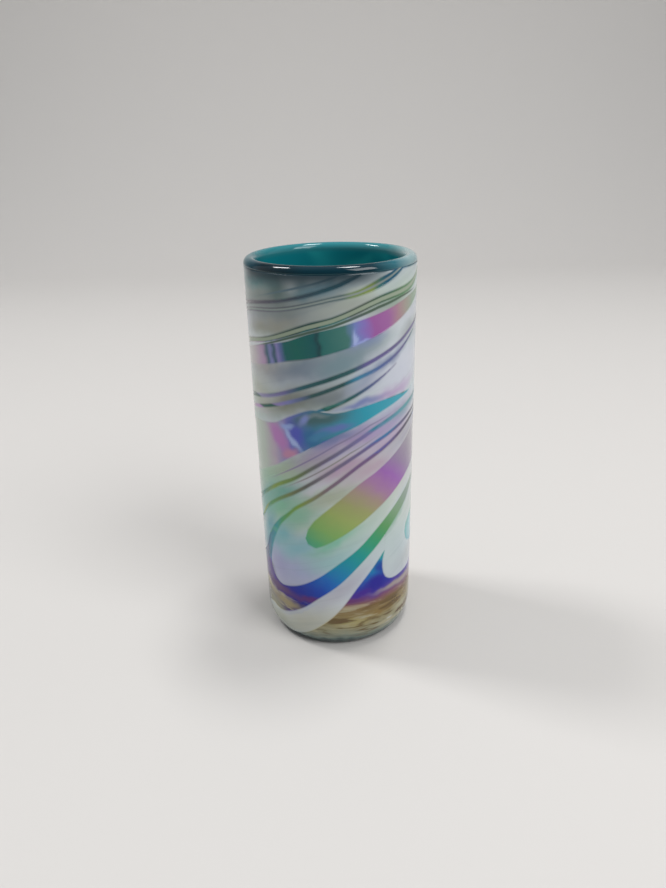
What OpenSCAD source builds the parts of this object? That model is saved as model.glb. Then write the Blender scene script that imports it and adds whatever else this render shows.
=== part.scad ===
// Hand blown art glass vase: a teal glass cup in a thick clear gather with a
// solid foot, and opal white trails combed into hairpin loops, flush in its wall.
// Millimetres, +Z up. The origin is the centre of the base, on the table.
// Turn angles are in degrees round the wall: 0 is the front (-Y), 90 is +X.

/* [Body] */
// Height of the finished vase
vase_height = 101.2; // [85:0.2:125]
// Outside diameter at the base, above the heel
base_diameter = 41.0; // [34:0.2:52]
// Outside diameter at the lip
lip_diameter = 41.4; // [34:0.2:52]
// How far the rounded heel comes in at the base
heel_inset = 3.0; // [2:0.1:4.5]
// Height of the rounded heel
heel_height = 6.3; // [4:0.1:8]

/* [Cup] */
// Thickness of the teal glass in the cup wall
teal_wall = 1.5; // [1:0.1:2.5]
// Height of the underside of the teal cup over the table
cup_base_height = 11.0; // [9:0.2:18]
// Thickness of the teal glass in the cup floor
teal_floor = 2.2; // [1:0.1:4]
// Rounding between the cup wall and its floor, outside
cup_corner = 6.0; // [4:0.2:8]

/* [Casing] */
// Thickness of the clear glass in the wall, trails included
clear_wall = 1.75; // [1.4:0.05:3]
// Diameter of the polished hollow where the pontil was ground off
pontil_diameter = 14; // [8:0.5:20]
// Depth of that hollow
pontil_depth = 0.8; // [0.3:0.1:1.5]

/* [Trails] */
// Depth of the opal glass, in from the outer wall
trail_depth = 0.7; // [0.4:0.05:1]
// Wall height that the trail pattern is drawn for; it stretches to other heights
pattern_height = 101.2; // [80:0.2:130]
// Bare glass between the trails and the rounded lip
lip_band = 0.6; // [0.2:0.1:3]

/* [Hidden] */

base_r = base_diameter / 2;
lip_r = lip_diameter / 2;
lip_bead = (teal_wall + clear_wall) / 2;
wall_top = vase_height - lip_bead;
trail_top = wall_top - lip_band;
stretch = vase_height / pattern_height;
turn_step = 7.5;
arc_steps = 12;
cutter_margin = 2;

// Seams are the lines of bare teal and clear glass between the trails, drawn on
// the unrolled wall as [turn, height of the middle, width]. One turn further
// round is 360 more. Where a seam opens wide it is a window of lustred glass.
left_seam = [[-205, 11.9, 5], [-180, 15, 3.6], [-150, 22.5, 2.4], [-120, 30.5, 1.6],
    [-75, 39.8, 1.1], [-45, 47.3, 1], [-30, 50.4, 0.9], [-15, 54.2, 0.9],
    [0, 57.7, 0.9], [15, 61, 0.9], [30, 63.6, 0.9], [60, 66.6, 0.8], [75, 67.6, 0.8],
    [120, 73, 0.6], [180, 80.5, 0.6], [240, 87, 0.6], [285, 91.3, 0.8],
    [330, 93.9, 0.6], [360, 96.8, 0.8], [375, 99, 0.8], [390, 102, 0.8]];
left_lens = [[-110, 24.5, 0.1], [-106, 25.3, 2.2], [-90, 29.3, 1.8], [-75, 33.3, 1],
    [-60, 39, 1], [-45, 43.2, 0.9], [-30, 46.6, 0.9], [0, 54.1, 0.9],
    [15, 57.4, 0.8], [30, 60, 0.8], [60, 63.3, 0.7], [75, 64.4, 0.6],
    [120, 69.3, 0.6], [180, 76, 0.6], [240, 83.3, 0.6], [285, 89.6, 0.7],
    [330, 92, 0.7], [360, 94.4, 0.8], [375, 95.3, 1.1], [390, 97, 1.9],
    [405, 99, 1.6], [425, 103, 1]];
front_seam = [[-150, 15.5, 10], [-145, 13, 9], [-135, 12, 7.4], [-120, 12.2, 6.4],
    [-90, 16.3, 5.6], [-75, 20.3, 5], [-66, 23.2, 6], [-62, 25.9, 7], [-58, 29.3, 4.8],
    [-52.5, 32.9, 3.2], [-45, 36.6, 1.7], [-36, 39.9, 1], [-30, 42.1, 0.9], [-15, 46, 0.9],
    [0, 50.2, 0.9], [15, 54.2, 0.9], [30, 57, 0.9], [60, 61.5, 0.8], [75, 62.8, 0.8],
    [120, 66, 0.6], [180, 71.5, 0.6], [240, 77.6, 0.8], [285, 82.2, 1],
    [315, 84.6, 1.2], [345, 88.3, 1.6], [360, 89.7, 1.5], [390, 93.4, 1.6],
    [420, 95, 1.8], [435, 97, 1.2], [460, 102, 1]];
front_lens = [[-22.5, 34, 2.4], [-20.8, 34.4, 4.2], [-19.1, 34.8, 5.6], [-15, 35.7, 8], [0, 39.7, 10.1],
    [15, 43.6, 11], [30, 46.8, 10.4], [60, 52.5, 9.9], [75, 54.5, 10],
    [120, 60.5, 7], [180, 67, 4.4], [240, 74, 3], [285, 78.4, 4.2], [315, 81.1, 4.6],
    [330, 82.5, 4.4], [345, 84, 5.4], [360, 85.3, 5.4], [390, 88.1, 4.6],
    [420, 91.4, 3], [435, 93, 1.6], [470, 98, 0.7], [490, 102, 0.7]];
right_seam = [[-75, 12, 12], [-66, 13.9, 13], [-62, 14.2, 12.8], [-58, 13, 10.8],
    [-52, 12.3, 9.4], [-45, 12.55, 8.5], [-30, 15.1, 7.4], [-15, 19.2, 6.2], [0, 23.7, 6.2],
    [15, 28.5, 5], [30, 33.5, 4.8], [45, 38, 3.9], [60, 41.3, 3.4], [75, 44.4, 1.8],
    [120, 50.5, 1.2], [180, 57.5, 0.8], [240, 64, 0.8], [285, 68.4, 0.8],
    [315, 71, 0.8], [345, 74.9, 0.9], [375, 78.6, 0.9], [405, 82.4, 0.8],
    [420, 84.6, 0.7], [440, 87, 0.6], [480, 92, 0.6], [530, 99, 0.6], [550, 103, 0.6]];
right_line = [[112, 45, 0.1], [120, 46.4, 0.6], [180, 54, 0.6], [240, 61, 0.6],
    [285, 65.4, 0.7], [315, 68.5, 0.7], [345, 72.3, 0.8], [375, 76.3, 0.8],
    [390, 78, 0.7], [405, 80.2, 0.6], [420, 83, 0.4], [428, 84.3, 0.1]];
right_spur = [[350, 69.3, 0.1], [355, 69.7, 0.8], [360, 70.1, 0.8], [375, 72.5, 0.7],
    [390, 75.2, 0.5], [405, 78, 0.1]];
right_lens = [[61, 29.95, 2.4], [62.7, 29.85, 4.2], [64.4, 29.75, 5.6],
    [68.5, 29.7, 7.7], [75, 30, 9.6], [120, 38, 12.4],
    [180, 45.5, 13], [240, 51, 14], [285, 54.8, 14.4], [315, 58.5, 11],
    [330, 61.6, 10.2], [345, 64.2, 9.2], [360, 65.4, 5.6], [375, 66.9, 4.2],
    [390, 68.4, 2.8], [405, 69.3, 1.6], [422, 69.8, 0.1]];
back_seam = [[35.5, 20.4, 0.1], [41, 18.5, 0.1], [50, 18, 0.1], [75, 17.8, 0.4],
    [100, 18.6, 1.4], [120, 21, 2.8], [125, 22.6, 2.6], [150, 27.4, 1.2],
    [200, 35, 0.6], [250, 40.6, 0.4], [285, 44.2, 0.3], [300, 47.3, 0.3],
    [330, 54, 0.3], [345, 59.6, 0.3], [360, 63.2, 0.3], [375, 65.6, 0.3],
    [390, 67.6, 0.3], [405, 69, 0.3], [422, 69.8, 0.3], [450, 73, 0.3],
    [480, 77, 0.3], [540, 85.5, 0.3], [600, 93.5, 0.3], [640, 100, 0.3],
    [660, 103, 0.3]];
back_lens = [[165, 25, 0.1], [170, 25.6, 3.6], [190, 29.6, 5], [220, 34.6, 3.6],
    [250, 38.2, 1.2], [268, 40.6, 0.1]];
// The lower edges of what runs out over the foot
back_loop_foot = [[125, 20.4, 0], [130, 16.6, 0], [140, 14.6, 0], [155, 14.4, 0],
    [175, 15.4, 0]];
front_stripe_foot = [[-78, 0.8, 0], [-45, 1.2, 0], [-30, 3, 0], [-15, 6.7, 0],
    [0, 12, 0], [15, 19.4, 0], [35.5, 28, 0]];
back_stripe_top = [[118, 3, 0], [150, 7, 0], [180, 11.4, 0], [210, 21, 0]];
back_stripe_foot = [[118, 1, 0], [150, 1.6, 0], [180, 5.4, 0], [198, 11.6, 0], [210, 20.2, 0]];

// The same seam one turn further round
function next_turn(seam) = [for (s = seam) [s[0] + 360, s[1], s[2]]];

// Slope of a seam's value at one of its points
function slope(seam, i, k) =
    let (a = max(i - 1, 0), b = min(i + 1, len(seam) - 1))
    (seam[b][k] - seam[a][k]) / (seam[b][0] - seam[a][0]);

// A seam's value at a turn, on a smooth curve through its points
function seam_value(seam, turn, k) =
    let (
        last = len(seam) - 1,
        t = min(max(turn, seam[0][0]), seam[last][0]),
        i = min(len([for (s = seam) if (s[0] <= t) 1]) - 1, last - 1),
        span = seam[i + 1][0] - seam[i][0],
        u = (t - seam[i][0]) / span
    )
    seam[i][k] * (1 - 3 * u * u + 2 * u * u * u)
    + seam[i + 1][k] * (3 * u * u - 2 * u * u * u)
    + span * slope(seam, i, k) * (u - 2 * u * u + u * u * u)
    + span * slope(seam, i + 1, k) * (u * u * u - u * u);

function upper_edge(seam, turn) =
    stretch * (seam_value(seam, turn, 1) + max(seam_value(seam, turn, 2), 0) / 2);
function lower_edge(seam, turn) =
    stretch * (seam_value(seam, turn, 1) - max(seam_value(seam, turn, 2), 0) / 2);

// Turns at which a strip is worked out: its ends, even steps, and the points of
// its seams, so that a rounded end keeps its shape
function turns(from, to, seams) =
    let (
        even = [for (t = [from : turn_step : to]) t],
        own = [for (seam = seams) for (s = seam) if (s[0] > from && s[0] < to) s[0]]
    )
    apart(sorted(concat(even, own, [to])));
function sorted(list) =
    len(list) < 2 ? list :
    let (
        pivot = list[floor(len(list) / 2)],
        less = [for (x = list) if (x < pivot) x],
        same = [for (x = list) if (x == pivot) pivot],
        more = [for (x = list) if (x > pivot) x]
    )
    concat(sorted(less), [same[0]], sorted(more));
// Leaves out turns that come too soon after the one before, but keeps the last
function apart(list, least = 1.6) =
    [for (i = [0 : len(list) - 1])
        if (i == 0 || i == len(list) - 1
            || (list[i] - list[i - 1] >= least && list[len(list) - 1] - list[i] >= least))
        list[i]];

// A curved wedge that crosses the wall between two edges given turn by turn
module wedge(steps, low, high) {
    inner = base_r - clear_wall - cutter_margin;
    outer = max(base_r, lip_r) + cutter_margin;
    last = len(steps) - 1;
    points = [for (i = [0 : last])
        for (corner = [[inner, low[i]], [outer, low[i]], [outer, high[i]], [inner, high[i]]])
            [corner[0] * sin(steps[i]), -corner[0] * cos(steps[i]), corner[1]]];
    sides = [for (i = [0 : last - 1])
        for (k = [0 : 3])
            let (a = 4 * i + k, b = 4 * i + (k + 1) % 4)
                for (face = [[a, b, b + 4], [a, b + 4, a + 4]]) face];
    ends = [[3, 2, 1], [3, 1, 0], [4 * last, 4 * last + 1, 4 * last + 2],
        [4 * last, 4 * last + 2, 4 * last + 3]];
    polyhedron(points, concat(sides, ends));
}

// All the glass from one seam down to the next
module between(above, below, from, to) {
    steps = turns(from, to, [above, below]);
    low = [for (t = steps) upper_edge(below, t)];
    high = [for (i = [0 : len(steps) - 1]) max(lower_edge(above, steps[i]), low[i] + 0.05)];
    wedge(steps, low, high);
}

// The bare glass of one seam
module along(seam) {
    steps = turns(seam[0][0], seam[len(seam) - 1][0], [seam]);
    low = [for (t = steps) lower_edge(seam, t)];
    high = [for (t = steps) max(upper_edge(seam, t), lower_edge(seam, t) + 0.05)];
    wedge(steps, low, high);
}

// A quarter of an ellipse, as points from one angle to another
function quarter(cx, cz, rx, rz, from, to) =
    [for (i = [0 : arc_steps])
        let (a = from + (to - from) * i / arc_steps)
            [cx + rx * cos(a), cz + rz * sin(a)]];

// Radius of the outer wall at a height
function wall_r(z) = base_r + (lip_r - base_r) * z / vase_height;

// The wall's outline from the heel to a height, moved in by a depth
function outline(depth, top) = concat(
    quarter(wall_r(heel_height) - heel_inset, heel_height, heel_inset - depth,
        heel_height - depth, -90, 0),
    [[wall_r(top) - depth, top]]);

// The ring of glass that the trails lie in; a negative depth reaches outside it
module skin(outside = 0) {
    out = outline(-outside, trail_top);
    in = outline(trail_depth, trail_top);
    rotate_extrude($fn = 96)
        polygon(concat(out, [for (i = [len(in) - 1 : -1 : 0]) in[i]]));
}

// The outline of the teal cup below the lip, moved in by a thickness
function cup_outline(side, floor) =
    let (
        r = lip_r - clear_wall - side,
        low_r = wall_r(cup_base_height) - clear_wall - side,
        corner = cup_corner - side,
        low = cup_base_height + floor
    )
    concat([[0, low]],
        quarter(low_r - corner, low + corner, corner, corner, -90, 0),
        [[r, wall_top]]);

module teal_cup() {
    out = cup_outline(0, 0);
    in = cup_outline(teal_wall, teal_floor);
    color([0.06, 0.45, 0.47, 0.75])
        rotate_extrude($fn = 96) {
            polygon(concat(out, [for (i = [len(in) - 1 : -1 : 0]) in[i]]));
            // The fire-polished lip rolls out over the clear wall
            intersection() {
                translate([lip_r - lip_bead, wall_top])
                    circle(r = lip_bead, $fn = 48);
                translate([0, wall_top])
                    square([lip_r + 1, lip_bead + 1]);
            }
        }
}

module clear_blank() {
    cup = cup_outline(0, 0);
    dish_r = (pow(pontil_diameter / 2, 2) + pow(pontil_depth, 2)) / (2 * pontil_depth);
    difference() {
        rotate_extrude($fn = 96)
            polygon(concat([[0, 0]], outline(0, wall_top),
                [for (i = [len(cup) - 1 : -1 : 0]) cup[i]]));
        translate([0, 0, pontil_depth - dish_r])
            sphere(r = dish_r, $fn = 96);
    }
}

module left_plan() {
    difference() {
        between(left_seam, front_seam, -150, 455);
        along(left_lens);
    }
}

module front_plan() {
    difference() {
        between(front_seam, right_seam, -62, 535);
        along(front_lens);
    }
}

module right_plan() {
    difference() {
        between(right_seam, back_seam, 35.5, 645);
        along(right_lens);
        along(right_line);
        along(right_spur);
    }
}

module back_plan() {
    difference() {
        union() {
            between(back_seam, back_loop_foot, 125, 155);
            between(back_seam, next_turn(left_seam), 155, 745);
        }
        along(back_lens);
        along(right_lens);
    }
}

module front_stripe_plan() {
    between(right_seam, front_stripe_foot, -78, 35.5);
}

module back_stripe_plan() {
    between(back_stripe_top, back_stripe_foot, 118, 210);
}

module trail(shade) {
    color(shade)
        intersection() {
            children();
            skin();
        }
}

module clear_casing() {
    color([0.85, 0.8, 0.6, 0.45])
        difference() {
            clear_blank();
            intersection() {
                union() {
                    left_plan();
                    front_plan();
                    right_plan();
                    back_plan();
                    front_stripe_plan();
                    back_stripe_plan();
                }
                skin(1);
            }
        }
}

module front_loop() trail([0.72, 0.76, 0.82]) front_plan();
module right_loop() trail([0.82, 0.84, 0.86]) right_plan();
module back_loop() trail([0.78, 0.8, 0.82]) back_plan();
module left_loop() trail([0.7, 0.76, 0.76]) left_plan();
module front_foot_stripe() trail([0.78, 0.79, 0.8]) front_stripe_plan();
module back_foot_stripe() trail([0.78, 0.79, 0.8]) back_stripe_plan();

teal_cup();
clear_casing();
front_loop();
right_loop();
back_loop();
left_loop();
front_foot_stripe();
back_foot_stripe();
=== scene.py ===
"""The looks of a hand blown art glass vase: a teal glass cup in a clear casing with a thick foot, opal white
trails combed into hairpin loops flush in its wall, and a metal-oxide lustre over the outside."""

import math

import bpy
import numpy as np
from mathutils import Matrix, Vector


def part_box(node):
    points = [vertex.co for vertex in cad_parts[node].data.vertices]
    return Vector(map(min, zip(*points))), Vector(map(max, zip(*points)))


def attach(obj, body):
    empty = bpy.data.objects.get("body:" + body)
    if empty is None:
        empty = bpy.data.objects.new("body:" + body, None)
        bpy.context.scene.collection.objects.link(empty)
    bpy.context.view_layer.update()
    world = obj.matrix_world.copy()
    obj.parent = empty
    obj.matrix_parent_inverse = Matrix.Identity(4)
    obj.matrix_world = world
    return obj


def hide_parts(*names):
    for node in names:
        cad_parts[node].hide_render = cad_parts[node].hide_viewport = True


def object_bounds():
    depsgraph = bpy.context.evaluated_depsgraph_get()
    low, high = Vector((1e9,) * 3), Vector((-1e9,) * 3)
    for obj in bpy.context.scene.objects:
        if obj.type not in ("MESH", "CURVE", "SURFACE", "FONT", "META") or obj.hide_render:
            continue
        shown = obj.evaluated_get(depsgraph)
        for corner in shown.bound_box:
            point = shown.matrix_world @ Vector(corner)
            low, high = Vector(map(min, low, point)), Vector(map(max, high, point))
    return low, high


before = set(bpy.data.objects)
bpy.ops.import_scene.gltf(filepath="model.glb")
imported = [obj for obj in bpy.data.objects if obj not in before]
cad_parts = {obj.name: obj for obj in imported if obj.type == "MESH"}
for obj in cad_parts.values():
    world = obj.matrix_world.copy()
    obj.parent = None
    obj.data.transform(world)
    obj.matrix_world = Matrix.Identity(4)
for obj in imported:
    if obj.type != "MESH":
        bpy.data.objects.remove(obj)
cad_low, cad_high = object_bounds()

# ---------------------------------------------------------------- sizes, in metres

MM = 0.001
HEIGHT = cad_high[2]
LIP_R = cad_high[0]
WALL_TAPER = 0.2 * MM
BASE_R = LIP_R - WALL_TAPER
HEEL_INSET = 3.0 * MM
HEEL_HEIGHT = 6.3 * MM
CUP_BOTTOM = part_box("teal_cup")[0][2]
WALL_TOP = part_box("clear_casing")[1][2]
LIP_BEAD = HEIGHT - WALL_TOP
TEAL_WALL = 1.5 * MM
CLEAR_WALL = 2 * LIP_BEAD - TEAL_WALL
TEAL_FLOOR = 2.2 * MM
CUP_CORNER = 6.0 * MM
# The cup's bottom corner is this much narrower than its top, and its wall is straight from this height
CUP_TAPER = 0.18 * MM
CUP_STRAIGHT_FROM = 40 * MM
PONTIL_R = 7.0 * MM
PONTIL_DEPTH = 0.8 * MM
TRAIL_DEPTH = 0.6 * MM
TRAIL_EDGE_DEPTH = 0.1 * MM
TRAIL_BOTTOM = 0.9 * MM
TRAIL_TOP = WALL_TOP - 0.15 * MM
# The opal stands this far proud of the lustred wall
PROUD = 0.025 * MM
# The opal, marvered in, has flowed this far over the edges of its groove
SPREAD = 0.08 * MM
# The lustred wall lies this far inside the CAD wall, so that the trails and the ripple stay inside it
WALL_INSET = 0.05 * MM
RIPPLE = 0.03 * MM
PATTERN_HEIGHT = 101.2 * MM
STRETCH = HEIGHT / PATTERN_HEIGHT
ARC_PER_DEGREE = BASE_R * math.pi / 180

# ---------------------------------------------------------------- the trails' pattern

# Seams are the lines of bare lustred glass between the trails, on the unrolled wall, as
# [turn in degrees, height of the middle in mm, width in mm]. Turn 0 is the front and 90 is +X,
# and one turn further round is 360 more. Where a seam opens wide it is a window.
LEFT_SEAM = [[-205, 11.9, 5], [-180, 15, 3.6], [-150, 22.5, 2.4], [-120, 30.5, 1.6], [-75, 39.8, 1.1],
    [-45, 47.3, 1], [-30, 50.4, 0.9], [-15, 54.2, 0.9], [0, 57.7, 0.9], [15, 61, 0.9], [30, 63.6, 0.9],
    [60, 66.6, 0.8], [75, 67.6, 0.8], [120, 73, 0.6], [180, 80.5, 0.6], [240, 87, 0.6],
    [285, 91.3, 0.8], [330, 93.9, 0.6], [360, 96.8, 0.8], [375, 99, 0.8], [390, 102, 0.8]]
LEFT_LENS = [[-110, 24.5, 0.1], [-106, 25.3, 2.2], [-90, 29.3, 1.8], [-75, 33.3, 1], [-60, 39, 1],
    [-45, 43.2, 0.9], [-30, 46.6, 0.9], [0, 54.1, 0.9], [15, 57.4, 0.8], [30, 60, 0.8], [60, 63.3, 0.7],
    [75, 64.4, 0.6], [120, 69.3, 0.6], [180, 76, 0.6], [240, 83.3, 0.6], [285, 89.6, 0.7],
    [330, 92, 0.7], [360, 94.4, 0.8], [375, 95.3, 1.1], [390, 97, 1.9], [405, 99, 1.6], [425, 103, 1]]
FRONT_SEAM = [[-150, 15.5, 10], [-145, 13, 9], [-135, 12, 7.4], [-120, 12.2, 6.4], [-90, 16.3, 5.6],
    [-75, 20.3, 5], [-66, 23.2, 6], [-62, 25.9, 7], [-58, 29.3, 4.8], [-52.5, 32.9, 3.2],
    [-45, 36.6, 1.7], [-36, 39.9, 1], [-30, 42.1, 0.9], [-15, 46, 0.9], [0, 50.2, 0.9], [15, 54.2, 0.9],
    [30, 57, 0.9], [60, 61.5, 0.8], [75, 62.8, 0.8], [120, 66, 0.6], [180, 71.5, 0.6], [240, 77.6, 0.8],
    [285, 82.2, 1], [315, 84.6, 1.2], [345, 88.3, 1.6], [360, 89.7, 1.5], [390, 93.4, 1.6],
    [420, 95, 1.8], [435, 97, 1.2], [460, 102, 1]]
FRONT_LENS = [[-22.5, 34, 0.1], [-22, 34.1, 2.2], [-21.2, 34.35, 3.7], [-19.5, 34.75, 5.3],
    [-15, 35.7, 8], [0, 39.7, 10.1], [15, 43.6, 11], [30, 46.8, 10.4], [60, 52.5, 9.9], [75, 54.5, 10],
    [120, 60.5, 7], [180, 67, 4.4], [240, 74, 3], [285, 78.4, 4.2], [315, 81.1, 4.6], [330, 82.5, 4.4],
    [345, 84, 5.4], [360, 85.3, 5.4], [390, 88.1, 4.6], [420, 91.4, 3], [435, 93, 1.6], [470, 98, 0.7],
    [490, 102, 0.7]]
RIGHT_SEAM = [[-75, 12, 12], [-66, 13.9, 13], [-62, 14.2, 12.8], [-58, 13, 10.8], [-52, 12.3, 9.4],
    [-45, 12.55, 8.5], [-30, 15.1, 7.4], [-15, 19.2, 6.2], [0, 23.7, 6.2], [15, 28.5, 5],
    [30, 33.5, 4.8], [45, 38, 3.9], [60, 41.3, 3.4], [75, 44.4, 1.8], [120, 50.5, 1.2],
    [180, 57.5, 0.8], [240, 64, 0.8], [285, 68.4, 0.8], [315, 71, 0.8], [345, 74.9, 0.9],
    [375, 78.6, 0.9], [405, 82.4, 0.8], [420, 84.6, 0.7], [440, 87, 0.6], [480, 92, 0.6],
    [530, 99, 0.6], [550, 103, 0.6]]
RIGHT_LINE = [[112, 45, 0.1], [120, 46.4, 0.6], [180, 54, 0.6], [240, 61, 0.6], [285, 65.4, 0.7],
    [315, 68.5, 0.7], [345, 72.3, 0.8], [375, 76.3, 0.8], [390, 78, 0.7], [405, 80.2, 0.6],
    [420, 83, 0.4], [428, 84.3, 0.1]]
RIGHT_SPUR = [[346, 68.4, 0.1], [355, 69.4, 1.0], [360, 70.1, 0.8], [375, 72.5, 0.7], [390, 75.2, 0.5],
    [405, 78, 0.1]]
RIGHT_LENS = [[61, 30, 0.1], [61.6, 29.95, 2.3], [62.8, 29.85, 4], [65, 29.7, 5.8], [68.5, 29.7, 7.7],
    [75, 30, 9.6], [120, 38, 12.4], [180, 45.5, 13], [240, 51, 14], [285, 54.8, 14.4], [315, 58.5, 11],
    [330, 61.6, 10.2], [345, 64.2, 9.2], [360, 65.4, 5.6], [375, 66.9, 4.2], [390, 68.4, 2.8],
    [405, 69.3, 1.6], [422, 69.8, 0.1]]
BACK_SEAM = [[35.5, 18.9, 0.1], [41, 18.5, 0.1], [50, 18, 0.1], [75, 17.8, 0.4], [100, 18.6, 1.4],
    [120, 21, 2.8], [125, 22.6, 2.6], [150, 27.4, 1.2], [200, 35, 0.6], [250, 40.6, 0.2],
    [285, 44.2, 0.02], [300, 47.3, 0.02], [330, 54, 0.02], [345, 59.6, 0.02], [360, 63.2, 0.02],
    [375, 65.6, 0.02], [390, 67.6, 0.02], [405, 69, 0.02], [422, 69.8, 0.02], [450, 73, 0.02],
    [480, 77, 0.02], [540, 85.5, 0.02], [600, 93.5, 0.02], [640, 100, 0.02], [660, 103, 0.02]]
BACK_LENS = [[165, 25, 0.1], [170, 25.6, 3.6], [190, 29.6, 5], [220, 34.6, 3.6], [250, 38.2, 1.2],
    [268, 40.6, 0.1]]
BACK_LOOP_FOOT = [[125, 20.4, 0], [130, 16.6, 0], [140, 14.6, 0], [155, 14.4, 0], [175, 15.4, 0]]
FRONT_STRIPE_FOOT = [[-78, 0.8, 0], [-45, 1.2, 0], [-30, 3, 0], [-15, 6.7, 0], [0, 12, 0],
    [15, 19.4, 0], [35.5, 28, 0]]
BACK_STRIPE_TOP = [[118, 3, 0], [150, 7, 0], [180, 11.4, 0], [210, 21, 0]]
BACK_STRIPE_FOOT = [[118, 1, 0], [150, 1.6, 0], [180, 5.4, 0], [198, 11.6, 0], [210, 20.2, 0]]


def next_turn(seam):
    """The same seam one turn further round."""
    return [[turn + 360, height, width] for turn, height, width in seam]


def seam_at(seam, turns):
    """A seam's middle and half width at some turns, in metres, on a smooth curve through its points:
    a cubic between two points, whose slope at each is that of the line between its neighbours."""
    points = np.array(seam, float)
    at, values = points[:, 0], points[:, 1:] * MM * STRETCH
    before = np.maximum(np.arange(len(at)) - 1, 0)
    after = np.minimum(np.arange(len(at)) + 1, len(at) - 1)
    slopes = (values[after] - values[before]) / (at[after] - at[before])[:, None]
    t = np.clip(turns, at[0], at[-1])
    i = np.clip(np.searchsorted(at, t, side="right") - 1, 0, len(at) - 2)
    span = (at[i + 1] - at[i])[:, None]
    u = (t - at[i])[:, None] / span
    curve = (values[i] * (1 - 3 * u**2 + 2 * u**3) + values[i + 1] * (3 * u**2 - 2 * u**3)
        + span * slopes[i] * (u - 2 * u**2 + u**3) + span * slopes[i + 1] * (u**3 - u**2))
    return curve[:, 0], np.maximum(curve[:, 1] / 2 - SPREAD, 0)


def between(above, below, start, end):
    """How far a point lies inside the glass between two seams and two turns: the least of its
    distances to the upper seam, the lower seam and the two ends."""

    def depth(turns, heights):
        upper, upper_half = seam_at(above, turns)
        lower, lower_half = seam_at(below, turns)
        ends = np.minimum(turns - start, end - turns) * ARC_PER_DEGREE
        inside = np.minimum((upper - upper_half)[:, None] - heights, heights - (lower + lower_half)[:, None])
        return np.minimum(inside, ends[:, None])

    return depth


def along(seam):
    """How far a point lies outside the bare glass of one seam: up or down from it and, past its ends,
    the straight distance from the end."""

    def depth(turns, heights):
        middle, half = seam_at(seam, turns)
        past = np.maximum(np.maximum(seam[0][0] - turns, turns - seam[-1][0]), 0) * ARC_PER_DEGREE
        return np.hypot(heights - middle[:, None], past[:, None]) - half[:, None]

    return depth


def left_loop(turns, heights):
    """The left loop, between the left and front seams, less its window."""
    whole = between(LEFT_SEAM, FRONT_SEAM, -150, 455)(turns, heights)
    return np.minimum(whole, along(LEFT_LENS)(turns, heights))


def front_loop(turns, heights):
    """The front loop, between the front and right seams, less its window."""
    whole = between(FRONT_SEAM, RIGHT_SEAM, -62, 535)(turns, heights)
    return np.minimum(whole, along(FRONT_LENS)(turns, heights))


# The right loop's round left end, as (height in mm, turn)
RIGHT_LOOP_END = [[18.4, 43.5], [19, 39.5], [20, 36.6], [21.5, 34.6], [23.5, 33.6], [25.5, 33.8],
    [27, 34.6], [28.2, 35.6], [33, 36.4]]


def right_loop(turns, heights):
    """The right loop, between the right and back seams, less its round left end, window and lines."""
    inside = between(RIGHT_SEAM, BACK_SEAM, 30, 645)(turns, heights)
    at, end = np.array(RIGHT_LOOP_END).T
    past_end = (turns[:, None] - np.interp(heights / (MM * STRETCH), at, end)) * ARC_PER_DEGREE
    inside = np.minimum(inside, past_end)
    for seam in (RIGHT_LENS, RIGHT_LINE, RIGHT_SPUR):
        inside = np.minimum(inside, along(seam)(turns, heights))
    return inside


def back_loop(turns, heights):
    """The back loop: its foot, and the rest between the back seam and the left seam a turn further on."""
    start = between(BACK_SEAM, BACK_LOOP_FOOT, 125, 157)(turns, heights)
    rest = between(BACK_SEAM, next_turn(LEFT_SEAM), 153, 745)(turns, heights)
    inside = np.maximum(start, rest)
    for seam in (BACK_LENS, RIGHT_LENS):
        inside = np.minimum(inside, along(seam)(turns, heights))
    return inside


def front_foot_stripe(turns, heights):
    """The front stripe, from the right seam down to its own lower edge."""
    return between(RIGHT_SEAM, FRONT_STRIPE_FOOT, -78, 36.5)(turns, heights)


def back_foot_stripe(turns, heights):
    """The back stripe, between its own upper and lower edges."""
    return between(BACK_STRIPE_TOP, BACK_STRIPE_FOOT, 118, 211)(turns, heights)


def closed_seam(turns, heights):
    """The opal on both sides of the back seam, from where that seam has closed up."""
    inside = between(RIGHT_SEAM, next_turn(LEFT_SEAM), 262, 745)(turns, heights)
    for seam in (RIGHT_LENS, RIGHT_LINE, RIGHT_SPUR):
        inside = np.minimum(inside, along(seam)(turns, heights))
    return inside


def joined_stripe(turns, heights):
    """The front foot stripe and how it runs on into the right loop."""
    return between(RIGHT_SEAM, FRONT_STRIPE_FOOT, -78, 60)(turns, heights)


# Each trail with the first and last turn that it reaches, and the opal that it runs on into with no edge
TRAILS = [(front_loop, -63, 536, []), (right_loop, 33, 646, [closed_seam, joined_stripe]),
    (back_loop, 124, 746, [closed_seam]), (left_loop, -151, 456, []),
    (front_foot_stripe, -79, 37, [joined_stripe]), (back_foot_stripe, 117, 212, [])]

# ---------------------------------------------------------------- the lustre's and the opal's colours

# The lustre's colour up the wall, where its film thickens from the foot to the lip, as (height in mm, colour)
# The lowest two stops, dark where the heel meets the floor, are painted contact shade
LUSTRE_AND_CONTACT_SHADE_BY_HEIGHT = [(0, "#1f3a3a"), (0.9, "#3f5a57"), (2.2, "#8fa098"), (4, "#b0b49c"),
    (5.5, "#b8b490"), (9, "#b09c64"), (12, "#97794a"), (14, "#7b4d62"), (16, "#55348c"),
    (19, "#262a9c"), (23, "#0b63b2"), (27, "#1391a4"), (32, "#45a07a"), (38, "#93ac5c"),
    (44, "#a99a6c"), (49, "#ad6aa4"), (54, "#7a55a4"), (59, "#3f5fb0"), (65, "#2a8296"),
    (71, "#37786c"), (76, "#5b5a8c"), (83, "#136660"), (88, "#8a5a96"), (93, "#35685e"),
    (97, "#1c5c62"), (100, "#0b4454")]

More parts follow.
